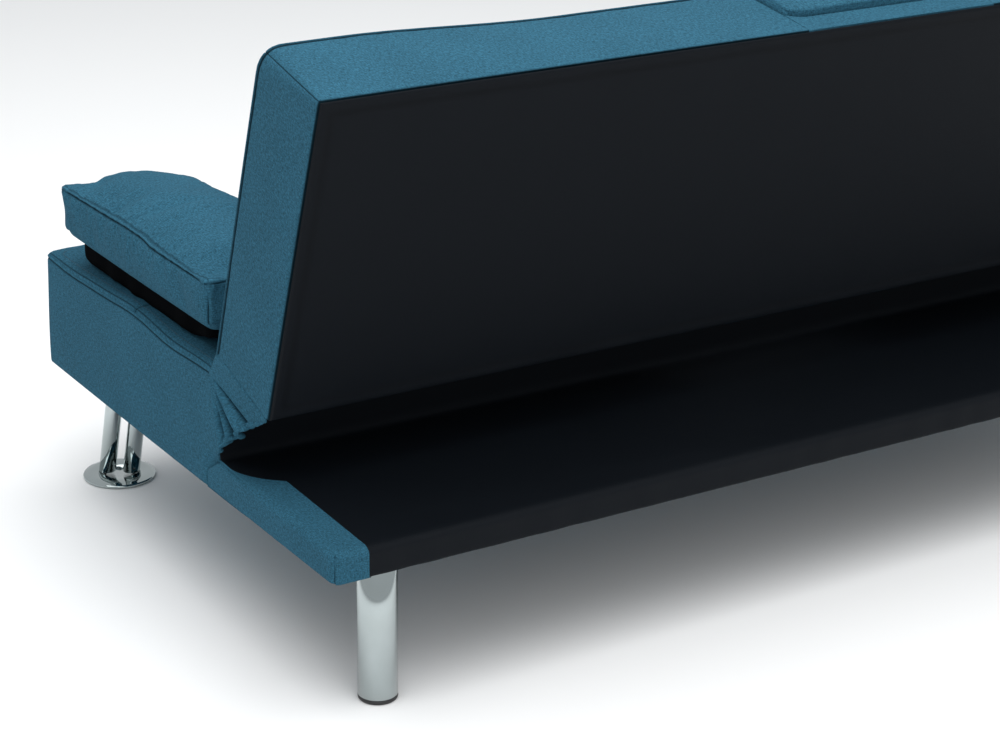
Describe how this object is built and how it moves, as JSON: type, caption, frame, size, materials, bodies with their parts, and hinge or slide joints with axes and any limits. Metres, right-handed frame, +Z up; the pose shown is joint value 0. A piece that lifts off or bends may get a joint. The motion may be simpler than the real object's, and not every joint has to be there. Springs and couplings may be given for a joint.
{
  "type": "futon sofa bed",
  "caption": "Click-clack futon sofa bed with a reclining back, fold-down cup-holder console, loose arm cushions and chrome legs.",
  "frame": {"origin": "on the floor, under the centre of the object's bounding box", "axes": "+X along the length, to the right as seen from the front; +Y to the rear; +Z up"},
  "size_m": [1.67, 0.876, 0.7948],
  "materials": {
    "blue_fabric": "woven matt upholstery",
    "black_cloth": "non-woven dust cloth",
    "foam": "open-cell foam",
    "timber": "sawn pine and plywood",
    "chrome": "polished",
    "steel": "zinc plated",
    "black_plastic": "fine moulded grain"
  },
  "bodies": {
    "base": {"frame_end_rail_left": "timber", "frame_end_rail_right": "timber", "frame_front_rail": "timber", "frame_middle_rail": "timber", "frame_rear_rail": "timber", "frame_cross_rail_left": "timber", "frame_cross_rail_right": "timber", "shelf_cross_rail_left": "timber", "shelf_cross_rail_right": "timber", "seat_deck": "timber", "seat_foam": "foam", "seat_cover": "blue_fabric", "base_dust_cover": "black_cloth", "shelf_board": "timber", "shelf_cloth": "black_cloth", "shelf_end_cover_left": "blue_fabric", "shelf_end_cover_right": "blue_fabric", "front_leg_left_plate": "steel", "front_leg_left_tube_inner": "chrome", "front_leg_left_tube_outer": "chrome", "front_leg_left_disc": "chrome", "rear_leg_left_plate": "steel", "rear_leg_left_tube": "chrome", "rear_leg_left_glide": "black_plastic", "front_leg_right_plate": "steel", "front_leg_right_tube_inner": "chrome", "front_leg_right_tube_outer": "chrome", "front_leg_right_disc": "chrome", "rear_leg_right_plate": "steel", "rear_leg_right_tube": "chrome", "rear_leg_right_glide": "black_plastic", "hinge_seat_plate_left": "steel", "hinge_seat_plate_right": "steel", "hinge_pin_left": "steel", "hinge_pin_right": "steel", "gusset_left": "blue_fabric", "gusset_right": "blue_fabric"},
    "backrest": {"hinge_back_arm_left": "steel", "hinge_back_arm_right": "steel", "back_frame_top_rail": "timber", "back_frame_bottom_rail": "timber", "back_frame_stile_left": "timber", "back_frame_stile_right": "timber", "back_frame_console_side_left": "timber", "back_frame_console_side_right": "timber", "back_foam_left": "foam", "back_foam_right": "foam", "back_cover_left": "blue_fabric", "back_cover_right": "blue_fabric", "back_cover_center": "blue_fabric", "back_dust_panel": "black_cloth"},
    "console": {"console_core": "foam", "console_cover": "blue_fabric", "cup_tray": "black_plastic", "console_axle": "steel"},
    "arm_left": {"arm_cushion_left": "blue_fabric", "arm_grip_pad_left": "black_cloth"},
    "arm_right": {"arm_cushion_right": "blue_fabric", "arm_grip_pad_right": "black_cloth"}
  },
  "joints": [
    {"name": "back_recline", "type": "hinge", "parent": "base", "child": "backrest", "pos_m": [0, 0.14, 0.379], "axis": [-1, 0, 0], "range_deg": [0, 71.6], "deforming": ["gusset_left", "gusset_right"]},
    {"name": "console_fold", "type": "hinge", "parent": "backrest", "child": "console", "pos_m": [0, 0.19563, 0.41951], "axis": [1, 0, 0], "range_deg": [0, 108.4]},
    {"name": "arm_left_lift", "type": "slide", "parent": "base", "child": "arm_left", "axis": [0, 0, 1], "range_m": [0, 0.2]},
    {"name": "arm_right_lift", "type": "slide", "parent": "base", "child": "arm_right", "axis": [0, 0, 1], "range_m": [0, 0.2]}
  ]
}
